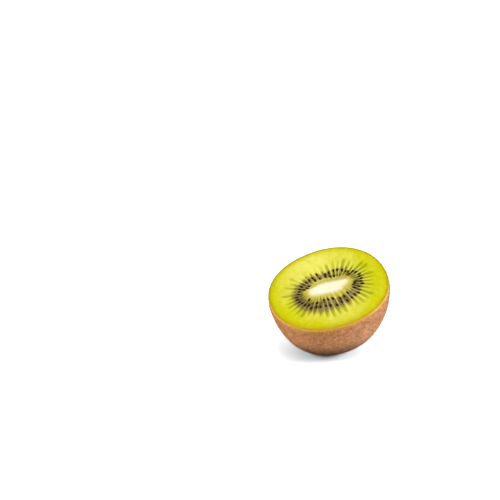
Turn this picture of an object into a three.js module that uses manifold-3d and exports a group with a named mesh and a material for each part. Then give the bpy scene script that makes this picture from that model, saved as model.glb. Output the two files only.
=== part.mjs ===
// Half of a kiwi fruit, cut crosswise and standing on its rounded end.
//
// Units are millimetres and +Z is up. The origin is under the middle of the piece, at its foot.
// The half is drawn in a frame of its own: the cut face lies in the XY plane, the long way of the
// oval runs along X, and the fruit's axis runs down -Z from the face to the rounded end. A group
// then leans it into the way it lies.
//
// Three bodies run through the fruit, one inside the other: the outer flesh with its peel, the
// seed bed with its ring of seeds, and the white core.

import * as THREE from 'three';
import { mergeVertices } from 'three/addons/utils/BufferGeometryUtils.js';
import Module from 'manifold-3d';

const DEGREE = Math.PI / 180;
const FULL_TURN = 2 * Math.PI;

// Outside of the fruit
const HALF_WIDTH = 26.6; // half the long way across the cut
const HALF_THICKNESS = 23.5; // half the short way across the cut
const HALF_LENGTH = 34.4; // from the cut face to the rounded end
const OUTLINE_SQUARENESS = 2.13; // 2 is an ellipse, more is squarer
const END_SQUARENESS = 2.05;
const LOPSIDEDNESS = 0.026; // share by which the +X end of the oval is fuller
const THREE_LOBED = 0.0064; // share of a faint three-cornered swelling
const LOBE_ANGLE = 56.2 * DEGREE;
const RIM_ROUNDING = 0.45; // where the peel turns into the cut face
const FACE_CROWN = 0.25; // the outer flesh swells a little above the cut

// Dried button at the rounded end: distance from the axis, and how far it stands out
const BUTTON_PROFILE = [[1.1, 0.4], [2.0, 0.35], [2.6, 0], [4.0, -0.2]];
const BUTTON_HOLLOW = 0.1; // how far the very middle of the button stands out

// Seed bed: the inner flesh with its locules, the narrow chambers that hold the seeds
const LOCULES = 42;
const BED_MIDDLE = new THREE.Vector2(0.8, -0.7);
const BED_HALF_WIDTH = 20.3;
const BED_HALF_THICKNESS = 16.3;
const BED_DEPTH = 28;
const BED_END_SQUARENESS = 2.1;
const SCALLOP = 0.35; // how far each locule's outer end reaches into the outer flesh
const LOCULE_SINK = 0.16; // the locules lie lower than the walls between them
const RING_SINK = 0.3; // the seed ring lies a little lower than the rest of the cut
const RING_MIDDLE = 0.34; // as a share of the way from the core to the outer flesh
const RING_SPREAD = 0.24;
const RING_SHIFT = 0.06; // the ring lies this share further in on the +Y side, further out on -Y

// Core: a flattened column with a swelling on each broad side
const CORE_MIDDLE = new THREE.Vector2(1.0, 0.3);
const CORE_HALF_WIDTH = 9.7;
const CORE_HALF_THICKNESS = 3.45;
const CORE_SQUARENESS = 2.3;
const CORE_DEPTH = 24;
const CORE_SWELLINGS = [{ angle: 100 * DEGREE, share: 0.4 }, { angle: 279 * DEGREE, share: 0.38 }];
const SWELLING_SPREAD = 17 * DEGREE;
const CORE_CROWN = 0.2;

// Seeds
const SEED_LENGTH = 1.95;
const SEED_WIDTH = 1.0;
const SEED_THICKNESS = 0.95;
const SEED_TAPER = 0.32; // share by which a seed narrows towards the core
const SEED_RISE = 0.1; // how far a seed's middle lies above the bed
const SEED_ROWS = [ // share of the way from the core to the outer flesh, and how often a locule has one
  { share: 0.43, spread: 0.14, chance: 1 },
  { share: 0.19, spread: 0.12, chance: 0.6 },
];
const SEED_SWAY = 0.35; // sideways, as a share of a locule's width
const SEED_TURN = 0.45; // in radians, from one side to the other
const SEED_CLEARANCE = 0.7; // from a seed to the core
const SEED_SIDES = 6;
const SEED_STACKS = 4;
const SEED_DRAW = 20260;

// How the half lies, and the spot it lies on
const LEAN = new THREE.Euler(23.1 * DEGREE, -7.9 * DEGREE, 21.1 * DEGREE, 'XYZ');
const FOOT_FLATTENING = 0.6; // height pressed flat where the peel meets the table
const GAP = 0.3; // clearance between touching bodies
const SEGMENTS = 2 * LOCULES; // one edge on each locule and one on each wall between two

const wasm = await Module();
wasm.setup();

// Distance from the fruit's axis to its side at the cut.
function sectionRadius(angle) {
  const across = Math.abs(Math.cos(angle) / HALF_WIDTH) ** OUTLINE_SQUARENESS;
  const along = Math.abs(Math.sin(angle) / HALF_THICKNESS) ** OUTLINE_SQUARENESS;
  const oval = (across + along) ** (-1 / OUTLINE_SQUARENESS);
  const lobes = THREE_LOBED * Math.cos(3 * (angle - LOBE_ANGLE));
  return oval * (1 + LOPSIDEDNESS * Math.cos(angle) + lobes);
}

// Outline of the cut face, brought in from the peel by a distance.
function peelOutline(angle, inset = 0) {
  const radius = sectionRadius(angle) - inset;
  return new THREE.Vector2(radius * Math.cos(angle), radius * Math.sin(angle));
}

// Outline of the seed bed at the cut, with a small lobe for each locule.
function bedOutline(angle, grow = 0) {
  const lobe = SCALLOP * Math.cos(LOCULES * angle) + grow;
  return new THREE.Vector2(
    BED_MIDDLE.x + (BED_HALF_WIDTH + lobe) * Math.cos(angle),
    BED_MIDDLE.y + (BED_HALF_THICKNESS + lobe) * Math.sin(angle),
  );
}

// A cosine or sine drawn out towards a rectangle's.
function squared(value, squareness) {
  return Math.sign(value) * Math.abs(value) ** (2 / squareness);
}

// Angle from one direction to another, between minus and plus half a turn.
function turnBetween(from, to) {
  return Math.atan2(Math.sin(to - from), Math.cos(to - from));
}

// Outline of the core at the cut.
function coreOutline(angle) {
  const swelling = CORE_SWELLINGS.reduce((sum, { angle: middle, share }) => {
    const away = turnBetween(middle, angle) / SWELLING_SPREAD;
    return sum + share * Math.exp(-away * away);
  }, 0);
  const across = CORE_HALF_WIDTH * squared(Math.cos(angle), CORE_SQUARENESS);
  const along = CORE_HALF_THICKNESS * squared(Math.sin(angle), CORE_SQUARENESS);
  return new THREE.Vector2(
    CORE_MIDDLE.x + across * (1 + swelling),
    CORE_MIDDLE.y + along * (1 + swelling),
  );
}

// The core's outline moved outwards by an even gap, for the hollow that it stands in.
function coreHollowOutline(angle) {
  const step = 1 * DEGREE;
  const along = coreOutline(angle + step).sub(coreOutline(angle - step)).normalize();
  return coreOutline(angle).add(new THREE.Vector2(along.y, -along.x).multiplyScalar(GAP));
}

// Points of one ring. outlineAt gives a point for each angle, heightAt its height.
function ring(outlineAt, heightAt) {
  return Array.from({ length: SEGMENTS }, (_, index) => {
    const angle = (FULL_TURN * index) / SEGMENTS;
    const point = outlineAt(angle);
    return new THREE.Vector3(point.x, point.y, heightAt(angle));
  });
}

// An outline drawn in towards its middle by a share, as it is deeper in the fruit.
function shrunk(outlineAt, middle, share) {
  return (angle) => outlineAt(angle).sub(middle).multiplyScalar(share).add(middle);
}

// Rings of a rounded end: latitude 0 is its tip and 90 degrees is the cut.
function roundedEnd(outlineAt, middle, depth, squareness, latitudes) {
  return latitudes.map((latitude) => {
    const share = Math.sin(latitude * DEGREE) ** (2 / squareness);
    const drop = latitude === 90 ? 0 : depth * Math.cos(latitude * DEGREE) ** (2 / squareness);
    return ring(shrunk(outlineAt, middle, share), () => -drop);
  });
}

// One closed body from a stack of rings, with a point at each end of the stack.
function stackedRings(firstTip, rings, lastTip) {
  const points = [firstTip, ...rings.flat(), lastTip];
  const positions = points.flatMap((point) => [point.x, point.y, point.z]);
  const last = points.length - 1;
  const at = (level, index) => 1 + level * SEGMENTS + (index % SEGMENTS);
  const triangles = [];
  for (let index = 0; index < SEGMENTS; index += 1) {
    triangles.push(0, at(0, index + 1), at(0, index));
    for (let level = 0; level < rings.length - 1; level += 1) {
      const near = at(level, index);
      const next = at(level, index + 1);
      triangles.push(near, next, at(level + 1, index + 1));
      triangles.push(near, at(level + 1, index + 1), at(level + 1, index));
    }
    triangles.push(last, at(rings.length - 1, index), at(rings.length - 1, index + 1));
  }
  const geometry = new THREE.BufferGeometry();
  geometry.setAttribute('position', new THREE.Float32BufferAttribute(positions, 3));
  geometry.setIndex(triangles);
  return geometry;
}

// Turns a geometry into a solid that can be cut and joined, and back.
function toSolid(geometry) {
  geometry.deleteAttribute('normal');
  geometry.deleteAttribute('uv');
  const merged = mergeVertices(geometry);
  return new wasm.Manifold(new wasm.Mesh({
    numProp: 3,
    vertProperties: new Float32Array(merged.attributes.position.array),
    triVerts: new Uint32Array(merged.index.array),
  }));
}

function toGeometry(solid) {
  const mesh = solid.getMesh();
  const geometry = new THREE.BufferGeometry();
  geometry.setAttribute('position', new THREE.BufferAttribute(mesh.vertProperties, 3));
  geometry.setIndex(new THREE.BufferAttribute(mesh.triVerts, 1));
  geometry.computeVertexNormals();
  return geometry;
}

// A random draw that gives the same numbers every time.
function seededDraw(state) {
  return () => {
    state = (state + 0x6d2b79f5) | 0;
    let mixed = Math.imul(state ^ (state >>> 15), 1 | state);
    mixed = (mixed + Math.imul(mixed ^ (mixed >>> 7), 61 | mixed)) ^ mixed;
    return ((mixed ^ (mixed >>> 14)) >>> 0) / 4294967296;
  };
}

// Rings with their lowest stretch pressed flat, as on the table under the leaning fruit.
function pressedFlat(rings) {
  const leaning = new THREE.Matrix4().makeRotationFromEuler(LEAN);
  const straight = leaning.clone().invert();
  const leant = rings.flat().map((point) => point.applyMatrix4(leaning));
  const table = Math.min(...leant.map((point) => point.z)) + FOOT_FLATTENING;
  leant.forEach((point) => {
    point.z = Math.max(point.z, table);
    point.applyMatrix4(straight);
  });
  return rings;
}

// Latitudes that the bed and its hollow share, so that the gap between them is even.
const BED_LATITUDES = [16, 32, 50, 70, 90];
const CORE_LATITUDES = [30, 60, 90];

// Outer flesh and peel
function makeFlesh() {
  const axis = new THREE.Vector2(0, 0);
  const tip = new THREE.Vector3(0, 0, -HALF_LENGTH - BUTTON_HOLLOW);
  const button = BUTTON_PROFILE.map(([distance, standing]) => {
    const share = distance / HALF_THICKNESS;
    const drop = HALF_LENGTH * (1 - share ** END_SQUARENESS) ** (1 / END_SQUARENESS);
    return ring(
      (angle) => new THREE.Vector2(distance * Math.cos(angle), distance * Math.sin(angle)),
      () => -drop - standing,
    );
  });
  const latitudes = [14, 20, 27, 34, 41, 48, 55, 62, 69, 76, 83, 88];
  const side = roundedEnd(peelOutline, axis, HALF_LENGTH, END_SQUARENESS, latitudes);
  const rim = [
    ring((angle) => peelOutline(angle, 0.3 * RIM_ROUNDING), () => -0.3 * RIM_ROUNDING),
    ring((angle) => peelOutline(angle, RIM_ROUNDING), () => 0),
  ];
  const hollowOutline = (angle) => bedOutline(angle, GAP);
  const face = [0.75, 0.45, 0.15].map((share) => ring(
    (angle) => hollowOutline(angle).lerp(peelOutline(angle, RIM_ROUNDING), share),
    () => FACE_CROWN * Math.sin(Math.PI * share),
  ));
  const hollow = roundedEnd(
    hollowOutline, BED_MIDDLE, BED_DEPTH + GAP, BED_END_SQUARENESS, BED_LATITUDES,
  ).reverse();
  const hollowTip = new THREE.Vector3(BED_MIDDLE.x, BED_MIDDLE.y, -BED_DEPTH - GAP);
  const outside = pressedFlat([...button, ...side]);
  return stackedRings(tip, [...outside, ...rim, ...face, ...hollow], hollowTip);
}

// A point of the cut at a share of the way from the core to the outer flesh.
function bedPlace(angle, share) {
  return coreHollowOutline(angle).lerp(bedOutline(angle), share);
}

// Share by which the seed ring lies further in than its average.
function ringShift(angle) {
  return RING_SHIFT * Math.sin(angle);
}

// Height of the seed bed's cut face at a share of the way from the core to the outer flesh.
function bedHeight(angle, share) {
  const ringMiddle = RING_MIDDLE - ringShift(angle);
  const ringness = Math.exp(-(((share - ringMiddle) / RING_SPREAD) ** 2));
  const inLocule = 0.5 + 0.5 * Math.cos(LOCULES * angle);
  return -RING_SINK * ringness - LOCULE_SINK * inLocule * Math.sin(Math.PI * share);
}

function makeSeedBed() {
  const tip = new THREE.Vector3(BED_MIDDLE.x, BED_MIDDLE.y, -BED_DEPTH);
  const side = roundedEnd(
    bedOutline, BED_MIDDLE, BED_DEPTH, BED_END_SQUARENESS, BED_LATITUDES,
  );
  const face = [0.8, 0.6, 0.4, 0.2].map((share) => ring(
    (angle) => bedPlace(angle, share),
    (angle) => bedHeight(angle, share),
  ));
  const hollow = roundedEnd(
    coreHollowOutline, CORE_MIDDLE, CORE_DEPTH + GAP, CORE_SQUARENESS, CORE_LATITUDES,
  ).reverse();
  const hollowTip = new THREE.Vector3(CORE_MIDDLE.x, CORE_MIDDLE.y, -CORE_DEPTH - GAP);
  return stackedRings(tip, [...side, ...face, ...hollow], hollowTip);
}

function makeCore() {
  const tip = new THREE.Vector3(CORE_MIDDLE.x, CORE_MIDDLE.y, -CORE_DEPTH);
  const side = roundedEnd(
    coreOutline, CORE_MIDDLE, CORE_DEPTH, CORE_SQUARENESS, CORE_LATITUDES,
  );
  const face = [ring(shrunk(coreOutline, CORE_MIDDLE, 0.6), () => 0.8 * CORE_CROWN)];
  const faceMiddle = new THREE.Vector3(CORE_MIDDLE.x, CORE_MIDDLE.y, CORE_CROWN);
  return stackedRings(tip, [...side, ...face], faceMiddle);
}

// One teardrop seed with its point towards -X.
function seedShape() {
  const seed = new THREE.SphereGeometry(1, SEED_SIDES, SEED_STACKS);
  seed.rotateZ(-90 * DEGREE);
  const position = seed.attributes.position;
  for (let index = 0; index < position.count; index += 1) {
    const widening = 1 + SEED_TAPER * position.getX(index);
    position.setY(index, position.getY(index) * widening);
    position.setZ(index, position.getZ(index) * widening);
  }
  seed.scale(SEED_LENGTH / 2, SEED_WIDTH / 2, SEED_THICKNESS / 2);
  return seed;
}

const coreEdge = Array.from({ length: SEGMENTS }, (_, index) => (
  coreOutline((FULL_TURN * index) / SEGMENTS)
));

// The place moved outwards along its locule until a whole seed is clear of the core.
function clearShare(angle, share) {
  const place = bedPlace(angle, share);
  const nearest = Math.min(...coreEdge.map((point) => point.distanceTo(place)));
  return nearest > SEED_LENGTH / 2 + SEED_CLEARANCE ? share : clearShare(angle, share + 0.02);
}

function placedSeed(angle, wantedShare, turn) {
  const share = clearShare(angle, wantedShare);
  const place = bedPlace(angle, share);
  const outward = bedPlace(angle, share + 0.1).sub(place);
  const seed = seedShape();
  seed.rotateZ(outward.angle() + turn);
  seed.translate(place.x, place.y, SEED_RISE + bedHeight(angle, share));
  return toSolid(seed);
}

// Each locule has a seed in the outer row, and about half have one in the inner row.
function makeSeeds() {
  const draw = seededDraw(SEED_DRAW);
  const spread = (size) => size * (draw() - 0.5);
  const seeds = [];
  for (let locule = 0; locule < LOCULES; locule += 1) {
    SEED_ROWS.forEach((row) => {
      const angle = (FULL_TURN * (locule + spread(SEED_SWAY))) / LOCULES;
      const share = row.share + spread(row.spread) - ringShift(angle);
      const turn = spread(SEED_TURN);
      if (draw() < row.chance) seeds.push(placedSeed(angle, share, turn));
    });
  }
  return seeds;
}

function namedMesh(name, geometry, look) {
  const mesh = new THREE.Mesh(geometry, new THREE.MeshStandardMaterial(look));
  mesh.name = name;
  return mesh;
}

const flesh = toSolid(makeFlesh());
const seedBed = makeSeeds().reduce((bed, seed) => bed.add(seed), toSolid(makeSeedBed()));
const core = toSolid(makeCore());

const half = new THREE.Group();
half.rotation.copy(LEAN);
half.add(namedMesh('flesh', toGeometry(flesh), { color: 0xd2d022, roughness: 0.35, metalness: 0 }));
half.add(namedMesh('seed_bed', toGeometry(seedBed), { color: 0x7d6e3e, roughness: 0.3, metalness: 0 }));
half.add(namedMesh('core', toGeometry(core), { color: 0xfcf6d7, roughness: 0.5, metalness: 0 }));

// The foot stands at height zero, with the origin under the middle of the piece.
const bounds = new THREE.Box3().setFromObject(half, true);
const middle = bounds.getCenter(new THREE.Vector3());
half.position.set(-middle.x, -middle.y, -bounds.min.z);

const group = new THREE.Group();
group.add(half);
group.updateMatrixWorld(true);

export default group;
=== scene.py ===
# %% [markdown]
# # Half a kiwi fruit
#
# The real thing is one half of a fresh green kiwi fruit, cut crosswise. It lies on the side of its
# rounded end and shows its cut face: a white core, a ring of black seeds in dusky pulp, pale rays
# between the seed chambers, bright outer flesh, and a thin brown peel with short fuzz.
#
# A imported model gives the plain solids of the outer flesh, the seed bed and the core. This lesson
# leaves them as the frame and makes a finely shaped piece for each, all in the same place. Every
# piece could be sculpted by hand, but the fruit follows simple rules, so rules draw it here: then
# a size can be changed in one line and every piece follows.

# %% Load the frame
import math

import bpy
import numpy as np
from mathutils import Matrix, Vector, noise


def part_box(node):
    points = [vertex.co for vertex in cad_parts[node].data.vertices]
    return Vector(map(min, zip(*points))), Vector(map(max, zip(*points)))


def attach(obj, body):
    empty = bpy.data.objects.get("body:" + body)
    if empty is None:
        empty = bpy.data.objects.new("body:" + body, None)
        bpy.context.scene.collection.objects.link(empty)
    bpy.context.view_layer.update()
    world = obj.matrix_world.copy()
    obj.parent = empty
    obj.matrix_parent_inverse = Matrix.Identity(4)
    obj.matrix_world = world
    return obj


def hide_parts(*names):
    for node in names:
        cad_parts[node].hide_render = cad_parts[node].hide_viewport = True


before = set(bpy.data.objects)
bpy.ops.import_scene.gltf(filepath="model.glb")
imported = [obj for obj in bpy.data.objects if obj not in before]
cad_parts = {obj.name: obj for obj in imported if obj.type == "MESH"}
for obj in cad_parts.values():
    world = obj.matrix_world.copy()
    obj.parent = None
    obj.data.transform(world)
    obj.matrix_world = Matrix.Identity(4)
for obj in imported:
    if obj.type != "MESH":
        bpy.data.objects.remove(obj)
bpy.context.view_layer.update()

MM = 0.001
FULL_TURN = 2 * math.pi
print("nodes of the frame:", sorted(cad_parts))

# %% [markdown]
# ## The shape of the fruit
#
# The fruit is drawn in millimetres in a frame of its own: the cut face lies in the XY plane, the
# long way of the oval runs along X, and the fruit's axis runs down -Z to the rounded end. A kiwi
# fruit is a little squarer than an ellipse and never quite even, so its outline is a superellipse
# with one fuller end and a faint three-cornered swelling.

# %% Outline of the fruit
HALF_WIDTH = 26.6
HALF_THICKNESS = 23.5
HALF_LENGTH = 34.4
OUTLINE_SQUARENESS = 2.13
END_SQUARENESS = 2.05
LOPSIDEDNESS = 0.026
THREE_LOBED = 0.0064
LOBE_ANGLE = math.radians(56.2)


def section_radius(angle):
    across = np.abs(np.cos(angle) / HALF_WIDTH) ** OUTLINE_SQUARENESS
    along = np.abs(np.sin(angle) / HALF_THICKNESS) ** OUTLINE_SQUARENESS
    oval = (across + along) ** (-1 / OUTLINE_SQUARENESS)
    lobes = THREE_LOBED * np.cos(3 * (angle - LOBE_ANGLE))
    return oval * (1 + LOPSIDEDNESS * np.cos(angle) + lobes)


def peel_outline(angle, inset=0.0):
    radius = section_radius(angle) - inset
    return np.stack([radius * np.cos(angle), radius * np.sin(angle)], axis=-1)


# %% [markdown]
# A rounded end is a stack of rings, each the outline drawn in towards its middle. Latitude 0 is
# the tip and 90 degrees is the cut. The same rule serves the peel, the seed bed and the core.

# %% Rings of a rounded end
def ring(outline, height):
    heights = np.broadcast_to(height, len(outline))
    return np.column_stack([outline, heights])


def rounded_end(outline, middle, depth, squareness, latitudes):
    rings = []
    for latitude in latitudes:
        share = math.sin(math.radians(latitude)) ** (2 / squareness)
        drop = depth * abs(math.cos(math.radians(latitude))) ** (2 / squareness)
        rings.append(ring(middle + (outline - middle) * share, -drop))
    return rings


# %% [markdown]
# ## How the half lies
#
# The cut face leans towards the viewer and a little to the left. The fruit is turned about X, Y
# and Z in that order, set down with its lowest stretch at height zero, and centred over the
# origin. The peel is pressed flat where it meets the table, so every point is kept from going
# below zero. One function does all of this, and each piece goes through it, which keeps the
# pieces together without any fitting by hand.

# %% Lay the fruit on the table
LEAN_X = math.radians(23.1)
LEAN_Y = math.radians(-7.9)
LEAN_Z = math.radians(21.1)
FOOT_FLATTENING = 0.6
LEAN = np.array(
    Matrix.Rotation(LEAN_X, 3, "X") @ Matrix.Rotation(LEAN_Y, 3, "Y") @ Matrix.Rotation(LEAN_Z, 3, "Z")
)

every_degree = np.radians(np.arange(360))
whole_outside = np.concatenate(
    rounded_end(peel_outline(every_degree), 0, HALF_LENGTH, END_SQUARENESS, range(91))
) @ LEAN.T
low = whole_outside.min(axis=0)
high = whole_outside.max(axis=0)
FACE_MIDDLE = np.array([-(low[0] + high[0]) / 2, -(low[1] + high[1]) / 2, -low[2] - FOOT_FLATTENING])


def on_table(points):
    placed = np.asarray(points) @ LEAN.T + FACE_MIDDLE
    placed[:, 2] = np.maximum(placed[:, 2], 0)
    return placed * MM


flesh_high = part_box("flesh")[1]
print("middle of the cut face, mm:", FACE_MIDDLE.round(2))
print("top of the fruit against the frame, mm:", round(high[2] + FACE_MIDDLE[2] - flesh_high.z / MM, 3))

# %% [markdown]
# ## Camera
#
# The camera looks down by 22 degrees from 600 mm away. A point of the photograph's frame fixes
# where the middle of the cut face falls, and the scale there fixes the lens. The camera keeps
# its shift at zero: the picture is framed by where the camera stands.

# %% Camera
VIEW_ELEVATION = math.radians(22)
VIEW_DISTANCE = 600
PICTURE_SIDE = 500
SENSOR_WIDTH = 36
PIXELS_PER_MM = 2.29
FACE_MIDDLE_PIXEL = (327.1, 287.9)

view_up = np.array([0, math.sin(VIEW_ELEVATION), math.cos(VIEW_ELEVATION)])
view_back = np.array([0, -math.cos(VIEW_ELEVATION), math.sin(VIEW_ELEVATION)])
right_of_middle = (FACE_MIDDLE_PIXEL[0] - PICTURE_SIDE / 2) / PIXELS_PER_MM
below_middle = (FACE_MIDDLE_PIXEL[1] - PICTURE_SIDE / 2) / PIXELS_PER_MM
aim = FACE_MIDDLE - [right_of_middle, 0, 0] + below_middle * view_up

camera_data = bpy.data.cameras.new("camera")
camera_data.sensor_width = SENSOR_WIDTH
camera_data.lens = SENSOR_WIDTH * PIXELS_PER_MM * VIEW_DISTANCE / PICTURE_SIDE
camera_data.clip_start = 0.01
camera_data.clip_end = 20
camera = bpy.data.objects.new("camera", camera_data)
camera.location = (aim + VIEW_DISTANCE * view_back) * MM
camera.rotation_euler = (math.radians(90) - VIEW_ELEVATION, 0, 0)
bpy.context.scene.collection.objects.link(camera)
bpy.context.scene.camera = camera
print("lens, mm:", round(camera_data.lens, 2))

# %% [markdown]
# ## A helper for node trees
#
# Materials and Geometry Nodes are both trees of nodes. Adding and linking each by hand takes
# many lines, so one small class adds a node, fills its inputs with either a number or another
# node's output, and hands the output back.
#
# A colour is written as it should look in the picture, in screen values from 0 to 255, and divided
# by the strength of the light that falls on it. The cut face looks up into the light and gets
# more of it than the peel.

# %% Node tree helper
FACE_LIGHT = 1.58
PEEL_LIGHT = 1.22


class Graph:
    def __init__(self, tree):
        self.tree = tree

    def feed(self, socket, value):
        if isinstance(value, bpy.types.NodeSocket):
            self.tree.links.new(value, socket)
        else:
            socket.default_value = value

    def fill(self, node, inputs):
        for name, value in inputs.items():
            self.feed(node.inputs[name], value)

    def add(self, kind, inputs=None, **settings):
        node = self.tree.nodes.new(kind)
        for name, value in settings.items():
            setattr(node, name, value)
        self.fill(node, inputs or {})
        return node

    def math(self, operation, *values, clamp=False):
        node = self.add("ShaderNodeMath", operation=operation, use_clamp=clamp)
        for socket, value in zip(node.inputs, values):
            self.feed(socket, value)
        return node.outputs[0]

    def times(self, first, second):
        return self.math("MULTIPLY", first, second)

    def plus(self, first, second, clamp=False):
        return self.math("ADD", first, second, clamp=clamp)

    def minus(self, first, second):
        return self.math("SUBTRACT", first, second)

    def total(self, *values, clamp=False):
        """The sum of several values. A pair stands for a value times its weight."""
        parts = [self.times(*value) if isinstance(value, tuple) else value for value in values]
        result = parts[0]
        for part in parts[1:-1]:
            result = self.plus(result, part)
        return self.plus(result, parts[-1], clamp)

    def vector(self, x, y, z):
        return self.add("ShaderNodeCombineXYZ", {"X": x, "Y": y, "Z": z}).outputs[0]

    def smooth(self, value, start, end):
        """0 at start and 1 at end, with an S-shaped way between them."""
        node = self.add(
            "ShaderNodeMapRange",
            {"Value": value, "From Min": start, "From Max": end},
            interpolation_type="SMOOTHSTEP",
        )
        return node.outputs[0]

    def scaled(self, value, start, end):
        """A 0 to 1 value stretched to run from start to end."""
        node = self.add("ShaderNodeMapRange", {"Value": value, "To Min": start, "To Max": end})
        return node.outputs[0]

    def noise(self, place, size, detail=2.0, roughness=0.5):
        """Noise from 0 to 1 whose largest lumps are about the given size across."""
        node = self.add(
            "ShaderNodeTexNoise",
            {"Vector": place, "Scale": 1 / size, "Detail": detail, "Roughness": roughness},
        )
        return node.outputs[0]

    def mix(self, share, first, second):
        """A colour between two others."""
        node = self.add("ShaderNodeMix", data_type="RGBA")
        self.feed(node.inputs[0], share)
        self.feed(node.inputs[6], first)
        self.feed(node.inputs[7], second)
        return node.outputs[2]

    def tint(self, base, share, weight, tone):
        """A colour with another laid over it, by a share that counts only in part."""
        return self.mix(self.times(share, weight), base, tone)

    def place(self):
        return self.add("ShaderNodeTexCoord").outputs["Object"]

    def parts(self, vector):
        return self.add("ShaderNodeSeparateXYZ", {"Vector": vector}).outputs

    def measure(self, name):
        """A measure stored on the points, as a material reads it."""
        return self.add("ShaderNodeAttribute", attribute_name=name).outputs["Fac"]

    def named(self, name):
        """The same measure, as a Geometry Nodes tree reads it."""
        return self.add("GeometryNodeInputNamedAttribute", {"Name": name}, data_type="FLOAT").outputs[0]

    def relief(self, height, strength, depth):
        bump = {"Height": height, "Strength": strength, "Distance": depth}
        return self.add("ShaderNodeBump", bump).outputs[0]

    def random(self, least, most, seed):
        node = self.add("FunctionNodeRandomValue", {"Seed": seed}, data_type="FLOAT")
        self.feed(node.inputs[2], least)
        self.feed(node.inputs[3], most)
        return node.outputs[1]


def linear(part):
    """One part of a screen colour, 0 to 255, as the linear value that nodes take."""
    share = part / 255
    return ((share + 0.055) / 1.055) ** 2.4 if share > 0.04 else share / 12.92


def colour(red, green, blue, light=FACE_LIGHT):
    """The colour that a surface must have to look like this under so much light."""
    return (linear(red) / light, linear(green) / light, linear(blue) / light, 1.0)


def new_material(name):
    material = bpy.data.materials.new(name)
    material.use_nodes = True
    shader = next(node for node in material.node_tree.nodes if node.type == "BSDF_PRINCIPLED")
    return material, Graph(material.node_tree), shader


# %% [markdown]
# ## Light and floor
#
# The photograph is high-key: a white floor that runs into a white background, and soft light
# from all round, with a short dark shadow only where the fruit meets the floor. The world gives
# the all-round light. It is white at the horizon, like the walls of a white room, and dimmer
# overhead. Large soft lamps add the direction: the peel is brighter at its right and left than in
# the middle. The two side lamps give no glare, as if their light were polarised, because their
# reflections would wash the wet face out to white wherever it is seen at a low angle.
#
# Lamps strong enough to burn the floor out to white would burn out the fruit as well, so the
# floor glows a little by itself, like a light table, and more far away, where the lamps don't
# reach. An Ambient Occlusion node takes the glow away where the fruit stands close over the floor.

# %% World, floor and lamps
HORIZON_STRENGTH = 1.0
OVERHEAD_STRENGTH = 0.2
HORIZON_TOP = 0.13
HORIZON_END = 0.24
WHITE = (1, 1, 1, 1)
FLOOR_TINT = (0.79, 0.84, 0.87, 1)
FLOOR_SIDE = 12.0
FLOOR_GLOW = 0.52
FAR_GLOW = 0.4
FAR_FROM = 0.2
FAR_FULL = 0.75
SHADOW_REACH = 0.021
LAMPS = (
    ("overhead", (0.1, -0.35, 0.9), 0.7, 5.5, True),
    ("right side", (0.75, 0.0, 0.25), 0.5, 17.0, False),
    ("left side", (-0.75, 0.0, 0.25), 0.5, 9.8, False),
)


def soft_lamp(name, place, size, watts, glare):
    data = bpy.data.lights.new(name, "AREA")
    data.shape = "DISK"
    data.size = size
    data.energy = watts
    lamp = bpy.data.objects.new(name, data)
    lamp.location = place
    lamp.rotation_euler = Vector(place).to_track_quat("Z", "Y").to_euler()
    lamp.visible_glossy = glare
    bpy.context.scene.collection.objects.link(lamp)


def white_surroundings():
    world = bpy.data.worlds.new("white surroundings")
    world.use_nodes = True
    graph = Graph(world.node_tree)
    background = world.node_tree.nodes["Background"]
    direction = graph.add("ShaderNodeTexCoord").outputs["Generated"]
    low = graph.smooth(graph.parts(direction)[2], HORIZON_END, HORIZON_TOP)
    strength = graph.scaled(low, OVERHEAD_STRENGTH, HORIZON_STRENGTH)
    graph.fill(background, {"Color": WHITE, "Strength": strength})
    bpy.context.scene.world = world
    bpy.context.scene.view_settings.view_transform = "Standard"


def white_floor():
    material, graph, shader = new_material("floor white")
    occlusion = graph.add("ShaderNodeAmbientOcclusion", {"Distance": SHADOW_REACH}, samples=8)
    glow = graph.times(graph.smooth(occlusion.outputs["AO"], 0.05, 0.88), FLOOR_GLOW)
    away = graph.add("ShaderNodeVectorMath", {0: graph.place()}, operation="LENGTH").outputs["Value"]
    far = graph.times(graph.smooth(away, FAR_FROM, FAR_FULL), FAR_GLOW)
    graph.fill(shader, {
        "Base Color": FLOOR_TINT, "Roughness": 0.6, "Specular IOR Level": 0.2,
        "Emission Color": WHITE, "Emission Strength": graph.plus(glow, far),
    })
    material.cycles.emission_sampling = "NONE"
    bpy.ops.mesh.primitive_plane_add(size=FLOOR_SIDE)
    floor = bpy.context.object
    floor.name = "floor"
    floor.data.materials.append(material)


white_surroundings()
for lamp in LAMPS:
    soft_lamp(*lamp)
white_floor()

# %% [markdown]
# ## Outlines on the cut face
#
# The core is a flattened column that swells on each broad side. Around it lies the seed bed, with
# 42 locules, the narrow chambers that hold the seeds. Each locule's outer end reaches a little
# into the outer flesh, so the bed's outline is gently scalloped. A place on the bed is given by
# an angle and by its share of the way from the core to the outer flesh.

# %% Core and seed bed outlines
LOCULES = 42
BED_MIDDLE = np.array([0.8, -0.7])
BED_HALF_WIDTH = 20.3
BED_HALF_THICKNESS = 16.3
BED_DEPTH = 28
BED_END_SQUARENESS = 2.1
SCALLOP = 0.35
CORE_MIDDLE = np.array([1.0, 0.3])
CORE_HALF_WIDTH = 9.7
CORE_HALF_THICKNESS = 3.45
CORE_SQUARENESS = 2.3
CORE_DEPTH = 24
CORE_SWELLINGS = ((math.radians(100), 0.4), (math.radians(279), 0.38))
SWELLING_SPREAD = math.radians(17)
CLEARANCE = 0.3


def squared(value):
    return np.sign(value) * np.abs(value) ** (2 / CORE_SQUARENESS)


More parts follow.
